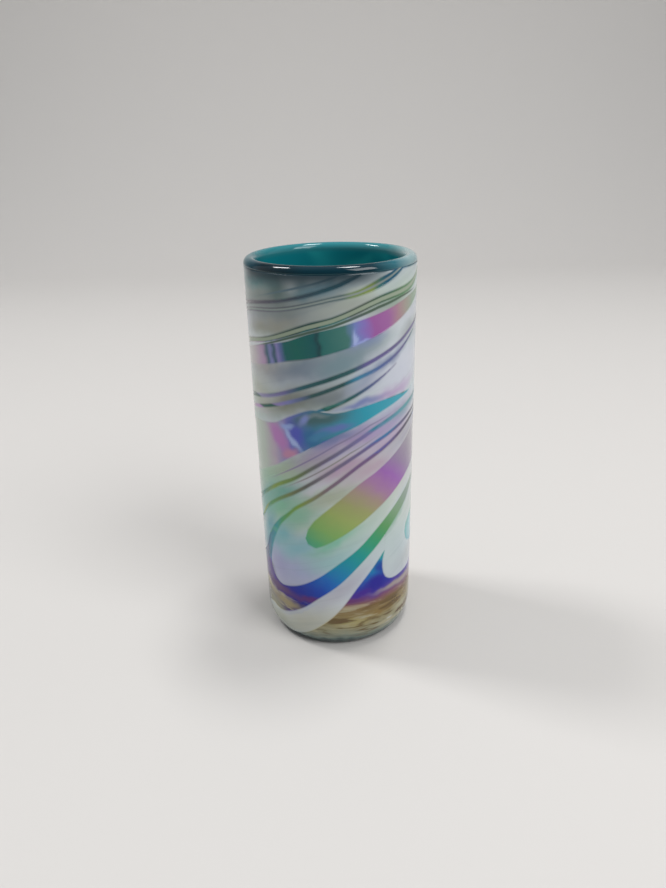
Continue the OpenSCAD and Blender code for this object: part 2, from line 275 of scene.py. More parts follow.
# The film's colours along each seam and window, from left to right round the front: the seam, how many
# turns round it is followed, how far the colours lean in degrees a mm, and (turn, colour)
FILM_BANDS = [
    (LEFT_LENS, 1, 0, [(-90, "#83808a"), (-55, "#6d6577"), (-20, "#43535f"), (8, "#38595c"),
        (13, "#6f8a50"), (24, "#7f9048"), (29, "#2f6a68"), (34, "#0b5672"), (55, "#0c4f66")]),
    (LEFT_SEAM, 1, 0, [(-90, "#8d8b8c"), (-50, "#5c5a66"), (-25, "#3f4c58"), (0, "#1f4c58"),
        (30, "#174a5c")]),
    (FRONT_SEAM, 1, 0, [(-90, "#8e9480"), (-55, "#6a7256"), (-42, "#2c4a40"), (-20, "#183f3c"),
        (0, "#2a4f48"), (18, "#48564a"), (30, "#3c5b45"), (50, "#5f8560"), (80, "#7f9a80")]),
    (FRONT_LENS, 1, 0.3, [(-80, "#b4b4b2"), (-62, "#b9b0b4"), (-51, "#b094b4"), (-46, "#38606e"),
        (-43, "#8084b8"), (-40, "#2c5664"), (-37, "#8a83ba"), (-34, "#5a6b9c"), (-31, "#0c605e"),
        (-22, "#00645a"), (-10, "#04585a"), (-7, "#083c44"), (-5, "#206a66"), (10, "#40766e"),
        (14, "#7382c0"), (19, "#8670ba"), (24, "#98589c"), (34, "#9c629c"), (43, "#a4808c"),
        (52, "#9c948a"), (64, "#8aa08c"), (85, "#889c86")]),
    (RIGHT_SEAM, 1, 0, [(-90, "#a49ea8"), (-60, "#908cae"), (-34, "#6f6c9c"), (-23, "#2a5c66"),
        (-5, "#1a4c4c"), (12, "#2c5a60"), (20, "#605a90"), (45, "#6a6488"), (65, "#62626a")]),
    (RIGHT_LINE, 1, 0, [(-90, "#aca6a0"), (-60, "#ad84bc"), (-30, "#7b80b6"), (-16, "#2f5454"),
        (4, "#1f4a48"), (15, "#3880a0"), (30, "#54689a"), (50, "#6c668c")]),
    (RIGHT_SPUR, 1, 0, [(-10, "#0a5348"), (10, "#1d5650"), (25, "#54608a"), (45, "#8a86a0")]),
    (RIGHT_LENS, 1, 0, [(-90, "#b4c2b8"), (-60, "#b0bcb0"), (-47, "#b4a4b4"), (-30, "#6a70bc"),
        (-14, "#3a7690"), (0, "#3c8298"), (20, "#2696ac"), (50, "#3e9cb0")]),
    (LEFT_SEAM, 0, 0, [(-90, "#4f8c88"), (-68, "#2f8478"), (-52, "#7f9a44"), (-34, "#6f8a4c"),
        (-20, "#667058"), (-8, "#6a6274"), (6, "#6e6a8a"), (20, "#766ea0"), (34, "#5c8aa4"),
        (60, "#5a98a0"), (80, "#6e8e92")]),
    (LEFT_LENS, 0, 0, [(-90, "#3f7a80"), (-68, "#1f7f80"), (-54, "#5a9858"), (-36, "#737e50"),
        (-20, "#60605c"), (-6, "#756c7c"), (12, "#6e6488"), (34, "#6a5c92"), (60, "#5b5a72"),
        (80, "#6a6a74")]),
    (FRONT_SEAM, 0, 0, [(-68, "#3c5580"), (-60, "#1f748e"), (-50, "#1c9298"), (-40, "#4f9c62"),
        (-28, "#7c9c42"), (-16, "#80865a"), (-3, "#7c6a74"), (14, "#735a80"), (34, "#6a5680"),
        (60, "#504c5a"), (80, "#58565e")]),
    (FRONT_LENS, 0, 1.9, [(-26, "#3f9c8c"), (-18, "#58a874"), (-9, "#7fac60"), (4, "#97a860"),
        (14, "#9a9c68"), (23, "#a08c80"), (31, "#a0789c"), (43, "#9660ac"), (55, "#907c9c"),
        (66, "#968c9c"), (80, "#a0a0a4")]),
    (RIGHT_SEAM, 0, 1.8, [(-84, "#77708c"), (-66, "#5e4484"), (-48, "#401c86"), (-36, "#221690"),
        (-25, "#0e2898"), (-15, "#0444ac"), (-6, "#0064b8"), (2, "#007cb0"), (10, "#008aa0"),
        (18, "#0e948c"), (27, "#34986c"), (36, "#5a985e"), (48, "#7a9c7a"), (62, "#84988c"),
        (80, "#98a69c")]),
]

# Where the film departs from those, and a painted glint on the heel: (turn, height, half length and half
# width in mm, tilt in degrees, colour)
FILM_PATCHES_AND_GLINT = [
    (-41, 61.0, 5.8, 2.8, -50, "#b47cb8"), (-32, 57.0, 3.4, 1.8, 20, "#bd86a4"),
    (-25, 62.4, 4.8, 2.2, -50, "#5058b8"), (-15, 61.6, 3.2, 2.6, -40, "#2f6a9a"),
    (-29.5, 61.4, 5.4, 0.8, -49, "#a3b4e2"), (-33, 64.4, 2.6, 0.7, 0, "#93a8dc"),
    (-11, 66.9, 7.5, 2.2, 12, "#3f6468"), (-14, 67.6, 4.0, 0.8, 14, "#6a7f84"),
    (0, 64.2, 5.0, 1.3, 18, "#5c74b0"), (-9, 62.2, 3.6, 1.2, 20, "#3f7ea4"),
    (-20, 66.2, 1.2, 2.2, -30, "#7d8cc4"), (14, 84.6, 0.5, 2.6, 10, "#a3b2e0"),
    (17, 83.6, 2.0, 0.5, 20, "#9aa6dc"), (30, 20.2, 5.0, 3.4, 20, "#1c1690"),
    (34.5, 25, 2.0, 3.0, 60, "#0b3f9c"), (17, 17.4, 3.6, 1.4, 16, "#3c188c"),
    (78, 100.4, 14, 1.2, 0, "#a9b9ba"), (-86, 100.4, 10, 1.2, 0, "#7d9294"),
    (-70, 12.6, 7, 2.0, 0, "#c9bf9c"), (-55, 15.2, 9.0, 1.5, 3, "#5b3a6c"),
    (-20, 15.4, 7.0, 1.1, 4, "#5a2a74"), (5, 15.4, 6.0, 1.0, 0, "#63306a"),
    (52, 15.8, 10.0, 1.2, -3, "#9d918e"), (72, 30, 5.0, 6.0, 0, "#86bcc4"),
    (-45, 11.8, 6.5, 2.0, 4, "#c4b488"), (-62, 8.0, 7.0, 3.0, 0, "#b9b79a"),
    (10, 7.6, 6.0, 1.8, 8, "#c9bc80"), (36, 9.4, 7.0, 1.6, -4, "#a88a4e"),
    # The last patch, pure white at turn 40 and 4.8 mm up, is a painted glint on the heel, not film
    (60, 6.4, 6.0, 2.6, -8, "#c8c4a4"), (40, 4.8, 1.3, 0.8, 8, "#ffffff"),
]

# Soft washes over the opal white: colour that the film and the glass behind lend it, and painted shade, the
# greys that darken it towards the upper left
OPAL_TINTS_AND_SHADE = [
    (-58, 94, 10, 6, 8, "#8b948e"), (-30, 92, 11, 5, 10, "#7f8886"), (-5, 93.5, 9, 4, 12, "#8f9895"),
    (-38, 96.5, 3.5, 3.0, 0, "#5f7270"), (-18, 97, 2.2, 2.6, 0, "#74868a"),
    (38, 95, 9, 3, 14, "#bcc8c0"), (-45, 87.4, 9, 2, 12, "#999d8c"), (8, 92.6, 8, 2, 14, "#a8aea6"),
    (-50, 78, 9, 3.0, 10, "#a9a8a4"), (-16, 79, 10, 3.4, 14, "#7a8896"),
    (14, 82, 8, 3.0, 16, "#8f9aa4"), (-30, 70.5, 10, 3.2, 14, "#808272"),
    (-62, 70, 8, 5, 10, "#b2b5a8"), (-4, 73, 7, 2.4, 18, "#7e868a"), (24, 76, 7, 2.4, 20, "#9aa2b6"),
    (52, 76, 10, 6, 20, "#ccd0da"), (44, 71.8, 8, 1.6, 10, "#bda6c8"), (-76, 58, 7, 12, 0, "#aec0b4"),
    (-54, 48.6, 9, 3.6, 24, "#98c4a4"), (-34, 52.6, 9, 3.0, 26, "#a5ba9c"),
    (-10, 57, 8, 3.0, 24, "#aaa0b0"), (14, 62, 10, 3.0, 20, "#a793b6"),
    (40, 65, 10, 3.4, 14, "#a898bc"), (8, 54.6, 8, 2.2, 24, "#b59db0"),
    (40, 60.6, 10, 2.0, 14, "#b6a6bc"), (-62, 41, 8, 4, 40, "#78b0a8"),
    (-42, 41.6, 8, 2.4, 30, "#7cba9e"), (-28, 40.5, 8, 3.4, 30, "#86bea4"),
    (0, 47.4, 8, 2.6, 26, "#aab6a0"), (26, 54, 8, 2.6, 20, "#b9a8b2"), (60, 59, 9, 2.4, 10, "#b0acb4"),
    (-56, 30, 7, 5, 60, "#7cb0bc"), (-46, 23, 7, 6, 30, "#a9a6ca"), (-24, 23.4, 7, 4, 30, "#b0b4d2"),
    (-27, 31, 8, 4, 30, "#8fbcc8"), (-4, 29, 8, 3, 34, "#a0c4c6"), (14, 36, 8, 2.6, 34, "#b2cac2"),
    (32, 42, 9, 2.6, 32, "#b8c8be"), (60, 48.6, 9, 3, 20, "#c2c8c4"), (6, 21, 9, 2.6, 44, "#b9b9c2"),
    (-24, 7, 9, 4, 20, "#c0c2b6"), (-58, 3.4, 9, 3, 0, "#b4b8a8"), (46, 24, 5, 6, 0, "#c3cccc"),
    (66, 22.5, 6, 3, 0, "#bcc3c2"), (-6, 96.6, 7, 1.8, 12, "#5c7c88"),
    (-58, 97.6, 7, 1.8, 6, "#5f8688"), (38, 92, 8, 1.6, 14, "#98aa9c"), (20, 84, 4, 1.8, 16, "#8492b2"),
    (62, 84, 6, 2.4, 14, "#a4aaac"), (4, 79.4, 6, 2.2, 16, "#7c949c"), (38, 79, 6, 1.2, 20, "#8c95ae"),
    (18, 70.8, 7, 1.0, 8, "#7c84b6"), (60, 66.4, 7, 1.4, 8, "#8ea0ae"),
    (0, 61.4, 6, 1.8, 24, "#7a7ea6"), (-42, 45.4, 7, 1.8, 28, "#6cac9c"),
    (-59, 34.6, 5, 2.6, 60, "#6ea6b2"), (-42, 34, 5, 3, 40, "#80b6be"),
    (-2, 33.4, 7, 1.6, 34, "#86c0aa"), (42, 35.6, 6, 1.3, 32, "#8cb09e"),
    (-64, 25.6, 4, 1.6, 80, "#4c7f96"), (-61, 19.4, 2.4, 1.4, -50, "#6a6880"),
]

# Seams whose middle is paler than their edges: the seam, how many turns round, half width in mm and colour
SEAM_CORES = [(FRONT_SEAM, 1, 0.3, "#93a08c"), (LEFT_LENS, 1, 0.12, "#8b9692")]

# Fine threads of film caught in the opal: (turn, height in mm, half width in mm) and a colour
THREADS = [
    ([(-70, 80.8, 0), (-45, 83.6, 0.12), (-15, 87.1, 0.2), (0, 88.5, 0.2), (15, 90.3, 0.22),
        (30, 91.9, 0.22), (50, 93.3, 0.16), (75, 94.2, 0)], "#4b5f50"),
    ([(-60, 93.4, 0), (-25, 96.4, 0.12), (-8, 97.9, 0.14), (0, 98.8, 0.12), (10, 100, 0)], "#5f7480"),
    ([(-80, 76.4, 0), (-50, 79.0, 0.08), (-15, 81.2, 0.12), (20, 85.6, 0.1), (50, 89.2, 0)], "#7d7f8a"),
    ([(-60, 46.6, 0), (-30, 53.2, 0.1), (0, 60.2, 0.12), (24, 64.4, 0.1), (50, 67, 0)], "#8a7f9c"),
    ([(-50, 44.8, 0), (-20, 51.2, 0.1), (10, 58, 0.1), (40, 63.2, 0)], "#8c8a86"),
]

# The lip's colour round its outside, where the teal lies over dark glass at the front and over opal at the
# right: (turn, colour)
LIP_BY_TURN = [(-180, "#2a7c84"), (-115, "#2a757c"), (-80, "#1a5a64"), (-60, "#0a3c4a"),
    (-48, "#011c26"), (-30, "#00222c"), (-16, "#002c38"), (26, "#012a36"), (44, "#2b6470"),
    (60, "#7f9a9e"), (96, "#8fa7a8"), (126, "#3c8086"), (180, "#2a7c84")]

# A thread's ramp spans this many degrees each side of the front, and its heights are shares of this many mm
THREAD_REACH = 90.0
TALLEST_MM = 110.0

MILKY_WHITE = "#cbd3d6"
DARK_UNDER_LIP = "#042c38"

# The film's swirls and, finer, its crazing: lattice pitch in metres, random seed and strength in mm
SWIRL_PITCH, SWIRL_SEED, SWIRL_MM = 12 * MM, 3, 3.0
CRAZE_PITCH, CRAZE_SEED, CRAZE_MM = 1.5 * MM, 4, 0.9
# The seams' own colours fade out from the sides to the back, over a line that wavers by this much, in degrees
FADE_FROM, FADE_TO, FADE_WAVER = 84, 168, 25
# How far beyond a seam's edge its colours reach whole, and at all, in mm
BAND_WHOLE, BAND_RIM = 0.6, 1.4


def linear(colour):
    """A hex sRGB colour as linear light, with full alpha."""
    parts = [int(colour[i:i + 2], 16) / 255 for i in (1, 3, 5)]
    return [p / 12.92 if p <= 0.04045 else ((p + 0.055) / 1.055) ** 2.4 for p in parts] + [1.0]


def eased(value, low, high):
    """From 0 at low to 1 at high along the smooth step 3u^2 - 2u^3."""
    u = np.clip((value - low) / (high - low), 0, 1)
    return (u * u * (3 - 2 * u))[..., None]


def shade_at(value, stops):
    """The colour of a list of (place, colour) at a value, straight from one to the next."""
    places = [place for place, colour in stops]
    colours = np.array([linear(colour) for place, colour in stops])
    return np.stack([np.interp(value, places, colours[:, channel]) for channel in range(4)], -1)


def swirls(points, pitch, seed):
    """Smooth random offsets from -0.5 to 0.5: values on a cubic lattice of a given pitch, blended between
    its corners along the smooth step 3u^2 - 2u^3."""
    table = np.random.default_rng(seed).random((32, 32, 32, 3)) - 0.5
    low = np.floor(points / pitch).astype(int)
    u = points / pitch - low
    u = u * u * (3 - 2 * u)
    total = np.zeros(points.shape)
    for corner in np.ndindex(2, 2, 2):
        weight = np.prod(np.where(corner, u, 1 - u), axis=-1, keepdims=True)
        i, j, k = np.moveaxis((low + corner) % 32, -1, 0)
        total += weight * table[i, j, k]
    return total


def patches_over(colour, arc_mm, height_mm, patches, rim, core):
    """Lays soft elliptical patches over colours. Each fades out between core and rim of its own size,
    where the distance is the length of the offset turned by its tilt and divided by its half sizes."""
    for turn, height, length, width, tilt, patch in patches:
        right, up = arc_mm - turn * ARC_PER_DEGREE / MM, height_mm - height
        lean = math.radians(tilt)
        radius = np.hypot((right * math.cos(lean) + up * math.sin(lean)) / length,
            (up * math.cos(lean) - right * math.sin(lean)) / width)
        inside = eased(radius, rim, core)
        colour = colour * (1 - inside) + np.array(linear(patch)) * inside
    return colour


def film_and_shaded_wash(points):
    """The lustre's colour and the opal's washes of colour, with their painted shade, at some points of the
    wall.
    Metal-oxide lustre is an interference film whose colour follows its thickness: bands of gold, violet,
    blue, green and rose drift along the seams, broken up by swirls and crazing, with a painted contact shade
    at the very bottom and a painted glint on the heel. The colours are fixed to their places on the wall and
    do not shift with the angle of view."""
    moved = (swirls(points, SWIRL_PITCH, SWIRL_SEED) * SWIRL_MM
        + swirls(points, CRAZE_PITCH, CRAZE_SEED) * CRAZE_MM)
    turns = np.degrees(np.arctan2(points[:, 0], -points[:, 1])) + moved[:, 0] / (ARC_PER_DEGREE / MM)
    height_mm = points[:, 2] / (MM * STRETCH) + moved[:, 1]
    arc_mm = turns * ARC_PER_DEGREE / MM
    film = shade_at(height_mm, LUSTRE_AND_CONTACT_SHADE_BY_HEIGHT)
    in_front = eased(np.abs(turns) + FADE_WAVER * moved[:, 2] / SWIRL_MM, FADE_TO, FADE_FROM)
    for seam, round_again, lean, colours in FILM_BANDS:
        middle, half = seam_at(seam, turns + 360.0 * round_again)
        off = height_mm - middle / (MM * STRETCH)
        near = eased(np.abs(off) - half / (MM * STRETCH), BAND_RIM, BAND_WHOLE) * in_front
        film = film * (1 - near) + shade_at(turns + lean * off, colours) * near
    film = patches_over(film, arc_mm, height_mm, FILM_PATCHES_AND_GLINT, 1.25, 0.3)
    breath = 0.10 + 0.05 * moved[:, 2:]
    milky = np.array(linear(MILKY_WHITE)) * (1 - breath) + film * breath
    # The tints lay the film's colour and painted shade, greyer towards the upper left, over the opal
    wash_and_shade = patches_over(milky, arc_mm, height_mm, OPAL_TINTS_AND_SHADE, 1.6, 0.1)
    return film, wash_and_shade


def paint(piece):
    """Keeps the lustre's colour and the opal's washes of colour, with their painted shade, on a piece's
    points.
    """
    count = len(piece.data.vertices)
    points = np.zeros(3 * count)
    piece.data.vertices.foreach_get("co", points)
    for name, colours in zip(("film", "wash_and_shade"), film_and_shaded_wash(points.reshape(-1, 3))):
        attribute = piece.data.attributes.new(name, "FLOAT_COLOR", "POINT")
        attribute.data.foreach_set("color", colours.ravel())


# ---------------------------------------------------------------- shapes


def wall_radius(turns, heights):
    """Radius of the lustred wall: the straight side, rounded in at the heel as a quarter ellipse, less
    the slow ripple that a wall blown and turned by hand has."""
    side = BASE_R + (LIP_R - BASE_R) * heights / HEIGHT - WALL_INSET
    below = np.clip((HEEL_HEIGHT - heights) / HEEL_HEIGHT, 0, 1)
    heel = HEEL_INSET * (1 - np.sqrt(1 - below**2))
    turn = np.radians(turns)
    wave = (np.sin(2 * turn + heights / (9 * MM)) + np.sin(3 * turn - heights / (14 * MM) + 1)) / 2
    return side - heel - RIPPLE * (1 + wave) / 2


def on_wall(turns, heights, radii):
    """Points at some turns, heights and radii round the vase's axis."""
    turn = np.radians(turns)
    return np.stack([radii * np.sin(turn), -radii * np.cos(turn), heights * np.ones_like(radii)], axis=-1)


def make_mesh(name, points, faces):
    """A smooth mesh object at the origin from an array of points and a list of triangles and quads."""
    mesh = bpy.data.meshes.new(name)
    mesh.from_pydata(points.reshape(-1, 3), [], faces)
    mesh.polygons.foreach_set("use_smooth", np.full(len(faces), True))
    mesh.update()
    piece = bpy.data.objects.new(name, mesh)
    bpy.context.scene.collection.objects.link(piece)
    return piece


def ring_faces(rings, around):
    """Quads between closed rings of points, one ring above the next, facing outwards when the
    rings climb the outside."""
    i, j = np.meshgrid(np.arange(rings - 1), np.arange(around), indexing="ij")
    k = (j + 1) % around
    low, high = i * around, (i + 1) * around
    return np.stack([low + j, low + k, high + k, high + j], -1).reshape(-1, 4)


def turned(name, profile, around, wall_rows=()):
    """A solid of revolution from a profile of (radius, height) that starts and ends on the axis.
    Rows in wall_rows follow the rippled wall instead of the profile's radius."""
    turns = np.arange(around) * 360.0 / around
    body = np.array(profile[1:-1])
    radii = np.repeat(body[:, :1], around, 1)
    heights = np.repeat(body[:, 1:], around, 1)
    for row in wall_rows:
        radii[row] = wall_radius(turns, heights[row])
    points = on_wall(turns[None, :], heights, radii).reshape(-1, 3)
    first, last = len(points), len(points) + 1
    points = np.vstack([points, [[0, 0, profile[0][1]], [0, 0, profile[-1][1]]]])
    faces = ring_faces(len(body), around)
    j = np.arange(around)
    k = (j + 1) % around
    top = (len(body) - 1) * around
    caps = np.vstack([np.stack([np.full(around, first), k, j], -1),
        np.stack([np.full(around, last), top + j, top + k], -1)])
    return make_mesh(name, points, faces.tolist() + caps.tolist())


def arc(centre, radii, start, end, steps):
    """Points on an ellipse about a centre in the profile, from one angle to another in degrees."""
    angles = np.radians(np.linspace(start, end, steps + 1))
    return [(centre[0] + radii[0] * math.cos(a), centre[1] + radii[1] * math.sin(a)) for a in angles]


def cup_line(side, floor, steps):
    """The profile of the teal cup from its middle to its straight wall, moved in by a thickness."""
    low = CUP_BOTTOM + floor
    corner = CUP_CORNER - side
    low_r = LIP_R - CLEAR_WALL - side - CUP_TAPER
    return [(0.0, low)] + arc((low_r - corner, low + corner), (corner, corner), -90, 0, steps)


def clipped(points, field, triangles):
    """The part of a flat mesh where a field is positive: each triangle is cut where the field, taken
    as straight along its edges, crosses zero. Returns points, field and triangles."""
    corner_in = field[triangles] > 0
    count = corner_in.sum(1)
    whole = triangles[count == 3]
    one = triangles[count == 1]
    two = triangles[count == 2]

    def odd_first(tris, odd):
        start = np.argmax(odd, axis=1)
        rows = np.arange(len(tris))[:, None]
        return tris[rows, (start[:, None] + np.arange(3)) % 3]

    one = odd_first(one, corner_in[count == 1])
    two = odd_first(two, ~corner_in[count == 2])
    cut_edges = np.vstack([one[:, [0, 1]], one[:, [0, 2]], two[:, [0, 1]], two[:, [0, 2]]])
    edges, index = np.unique(np.sort(cut_edges, axis=1), axis=0, return_inverse=True)
    index = index.reshape(-1) + len(points)
    a, b = edges[:, 0], edges[:, 1]
    share = (field[a] / (field[a] - field[b]))[:, None]
    new_points = points[a] + (points[b] - points[a]) * share
    n, m = len(one), len(two)
    one_ab, one_ac = index[:n], index[n:2 * n]
    two_ab, two_ac = index[2 * n:2 * n + m], index[2 * n + m:]
    tris = np.vstack([whole,
        np.stack([one[:, 0], one_ab, one_ac], -1),
        np.stack([two_ab, two[:, 1], two[:, 2]], -1),
        np.stack([two_ab, two[:, 2], two_ac], -1)])
    all_points = np.vstack([points, new_points])
    all_field = np.concatenate([field, np.zeros(len(new_points))])
    used, tris = np.unique(tris, return_inverse=True)
    return all_points[used], all_field[used], tris.reshape(-1, 3)


def true_distance(field, turn_step, height_step):
    """Turns a field that grows inwards into a distance from its edge: the field over its slope, which
    is taken as at least least_slope where two edges meet and the field is flat."""
    least_slope = 0.3
    over_turn, over_height = np.gradient(field, turn_step, height_step)
    return field / np.maximum(np.hypot(over_turn, over_height), least_slope)


def trail(depth_of, start, end, runs_into):
    """An opal trail as a closed solid. Its outline is where its depth, worked out on a grid over the
    unrolled wall, is zero; its outer face lies just proud of the wall and its inner face thins out
    to nothing much at the edges. The distance from the nearest edge of the trail and of the opal it
    runs on into is kept as an attribute in mm."""
    turn_step, height_step = 1.0, 0.25 * MM
    turns = np.arange(start, end + turn_step, turn_step)
    heights = np.arange(TRAIL_BOTTOM, TRAIL_TOP, height_step)
    field = depth_of(turns, heights[None, :])
    field = np.minimum(field, np.minimum(heights - TRAIL_BOTTOM, TRAIL_TOP - heights)[None, :])
    distance = true_distance(field, turn_step * ARC_PER_DEGREE, height_step)
    edge = distance
    for other in runs_into:
        joined = true_distance(other(turns, heights[None, :]), turn_step * ARC_PER_DEGREE, height_step)
        edge = np.maximum(edge, joined)
    columns, rows = field.shape
    i, j = np.meshgrid(np.arange(columns - 1), np.arange(rows - 1), indexing="ij")
    low_left = (i * rows + j).ravel()
    triangles = np.vstack([np.stack([low_left, low_left + rows, low_left + rows + 1], -1),
        np.stack([low_left, low_left + rows + 1, low_left + 1], -1)])
    flat = np.stack(np.meshgrid(turns, heights, indexing="ij") + [edge], -1).reshape(-1, 3)
    keep = (distance.ravel()[triangles] > 0).any(axis=1)
    flat, distance, triangles = clipped(flat, distance.ravel(), triangles[keep])
    wall = wall_radius(flat[:, 0], flat[:, 1])
    thickness = np.minimum(TRAIL_DEPTH, TRAIL_EDGE_DEPTH + 0.8 * distance)
    outer = on_wall(flat[:, 0], flat[:, 1], wall + PROUD)
    inner = on_wall(flat[:, 0], flat[:, 1], wall + PROUD - thickness)
    directed = np.vstack([triangles[:, [0, 1]], triangles[:, [1, 2]], triangles[:, [2, 0]]])
    total = len(flat)
    codes = directed[:, 0] * total + directed[:, 1]
    rim = directed[~np.isin(codes, directed[:, 1] * total + directed[:, 0])]
    sides = np.vstack([np.stack([rim[:, 1], rim[:, 0], rim[:, 0] + total], -1),
        np.stack([rim[:, 1], rim[:, 0] + total, rim[:, 1] + total], -1)])
    faces = np.vstack([triangles, triangles[:, ::-1] + total, sides])
    piece = make_mesh(depth_of.__name__ + "_opal", np.vstack([outer, inner]), faces.tolist())
    attribute = piece.data.attributes.new("edge_mm", "FLOAT", "POINT")
    attribute.data.foreach_set("value", np.tile(flat[:, 2] / MM, 2))
    return piece


# ---------------------------------------------------------------- materials


def add(tree, kind, inputs=None, **settings):
    """Adds a node with its settings. Each input, by name or number, is a value or a socket to link."""
    node = tree.nodes.new("ShaderNode" + kind)
    for name, value in settings.items():
        setattr(node, name, value)
    for key, value in (inputs or {}).items():
        if isinstance(value, bpy.types.NodeSocket):
            tree.links.new(value, node.inputs[key])
        else:
            node.inputs[key].default_value = value
    return node


def maths(tree, operation, *values):
    """One sum worked out on values or sockets."""
    return add(tree, "Math", dict(enumerate(values)), operation=operation).outputs[0]


def mixed(tree, factor, first, second):
    """Two colours mixed: the first at a factor of 0 and the second at 1."""
    return add(tree, "Mix", {0: factor, 6: first, 7: second}, data_type="RGBA").outputs[2]


def smooth_step(tree, value, low, high):
    """From 0 at low to 1 at high, eased at both ends."""
    return add(tree, "MapRange", {"Value": value, "From Min": low, "From Max": high},
        interpolation_type="SMOOTHSTEP").outputs["Result"]


def unrolled(tree):
    """Object coordinates unrolled off the wall: the arc length from the front, and the height, in mm."""
    place = add(tree, "TexCoord").outputs["Object"]
    axes = add(tree, "SeparateXYZ", {0: place})
    turn = maths(tree, "ARCTAN2", axes.outputs["X"], maths(tree, "MULTIPLY", axes.outputs["Y"], -1.0))
    arc_mm = maths(tree, "MULTIPLY", turn, BASE_R / MM)
    height_mm = maths(tree, "MULTIPLY", axes.outputs["Z"], 1 / (MM * STRETCH))
    return place, arc_mm, height_mm


def ramp(tree, factor, stops):
    """A colour ramp from (place from 0 to 1, linear colour)."""
    node = add(tree, "ValToRGB", {"Fac": factor})
    elements = node.color_ramp.elements
    for place, colour in stops[1:-1]:
        elements.new(place).color = colour
    for element, (place, colour) in ((elements[0], stops[0]), (elements[len(elements) - 1], stops[-1])):
        element.position = place
        element.color = colour
    return node.outputs["Color"]


def across_front(tree, arc_mm, reach):
    """Where a point lies between minus and plus some degrees from the front, from 0 to 1."""
    return maths(tree, "MULTIPLY_ADD", arc_mm, 1 / (2 * reach * ARC_PER_DEGREE / MM), 0.5)


def thread_over(tree, colour, arc_mm, height_mm, places, own):
    """Draws a fine thread over a colour along its (turn, height, half width) in degrees and mm."""
    place = ramp(tree, across_front(tree, arc_mm, THREAD_REACH), [((turn + THREAD_REACH) / (2 * THREAD_REACH),
        (height / TALLEST_MM, half, 0, 1)) for turn, height, half in places])
    parts = add(tree, "SeparateColor", {0: place})
    off = maths(tree, "MULTIPLY_ADD", parts.outputs[0], -TALLEST_MM, height_mm)
    outside = maths(tree, "SUBTRACT", maths(tree, "ABSOLUTE", off), parts.outputs[1])
    shown = maths(tree, "MULTIPLY", smooth_step(tree, outside, 0.32, -0.08),
        smooth_step(tree, parts.outputs[1], 0.0, 0.12))
    return mixed(tree, shown, colour, linear(own))


def under_lip(tree, arc_mm, height_mm):
    """How much the wall just under the lip is dark glass: at the front, not at the right."""
    high = smooth_step(tree, height_mm, 95.6, 99.2)
    turn = maths(tree, "DIVIDE", arc_mm, ARC_PER_DEGREE / MM)
    left = smooth_step(tree, turn, -84.0, -58.0)
    right = smooth_step(tree, turn, 52.0, 12.0)
    return maths(tree, "MULTIPLY", high, maths(tree, "MULTIPLY", left, right))


def new_material(name):
    """An empty material and its node tree."""
    material = bpy.data.materials.new(name)
    material.use_nodes = True
    tree = material.node_tree
    tree.nodes.clear()
    return material, tree


def finish_material(tree, shader):
    """Sends the finished shader to the material's surface."""
    add(tree, "OutputMaterial", {"Surface": shader.outputs[0]})


def lustred_clear_glass():
    """Clear soda-lime glass over teal, blown and fumed with metal salts while hot: a glossy coloured
    film over the wall, and a faintly golden foot that lets part of the light through."""
    material, tree = new_material("lustred_clear_glass")
    # The film attribute holds the lustre, with its painted contact shade at the very bottom and a painted
    # glint on the heel
    lustre = add(tree, "Attribute", attribute_name="film").outputs["Color"]
    _, arc_mm, height_mm = unrolled(tree)
    clear = smooth_step(tree, height_mm, 15.0, 11.5)
    # Cords: streaks 1 to 3 mm apart, drawn round the foot, from glass of uneven mix
    drawn = add(tree, "CombineXYZ", {"X": maths(tree, "MULTIPLY", arc_mm, 0.10),
        "Y": maths(tree, "MULTIPLY", height_mm, 0.62)}).outputs[0]
    cords = add(tree, "TexNoise", {"Vector": drawn, "Scale": 1.0, "Detail": 4.0,
        "Distortion": 0.6}).outputs[0]
    amber = maths(tree, "MULTIPLY", smooth_step(tree, cords, 0.5, 0.36),
        smooth_step(tree, arc_mm, -16.0, 2.0))
    gold = mixed(tree, amber, lustre, linear("#7c6238"))
    gold = mixed(tree, smooth_step(tree, cords, 0.52, 0.66), gold, linear("#d0c8a6"))
    turns = np.arange(-88, 89, 8)
    for seam, round_again, half, core in SEAM_CORES:
        middle, _ = seam_at(seam, turns + 360.0 * round_again)
        places = [(turn, height, half) for turn, height in zip(turns, middle / (MM * STRETCH))]
        lustre = thread_over(tree, lustre, arc_mm, height_mm, places, core)
    above_rim = smooth_step(tree, height_mm, 2.0, 4.5)
    colour = mixed(tree, maths(tree, "MULTIPLY", clear, above_rim), lustre, gold)
    colour = mixed(tree, under_lip(tree, arc_mm, height_mm), colour, linear(DARK_UNDER_LIP))
    bump = add(tree, "Bump", {"Height": cords, "Strength": 0.12, "Distance": 0.0004})
    shader = add(tree, "BsdfPrincipled", {"Base Color": colour, "Roughness": 0.1, "IOR": 1.5,
        "Specular IOR Level": 0.3, "Coat Weight": 0.1, "Coat Roughness": 0.03, "Normal": bump.outputs[0],
        "Transmission Weight": maths(tree, "MULTIPLY", clear, 0.4)})
    finish_material(tree, shader)
    return material


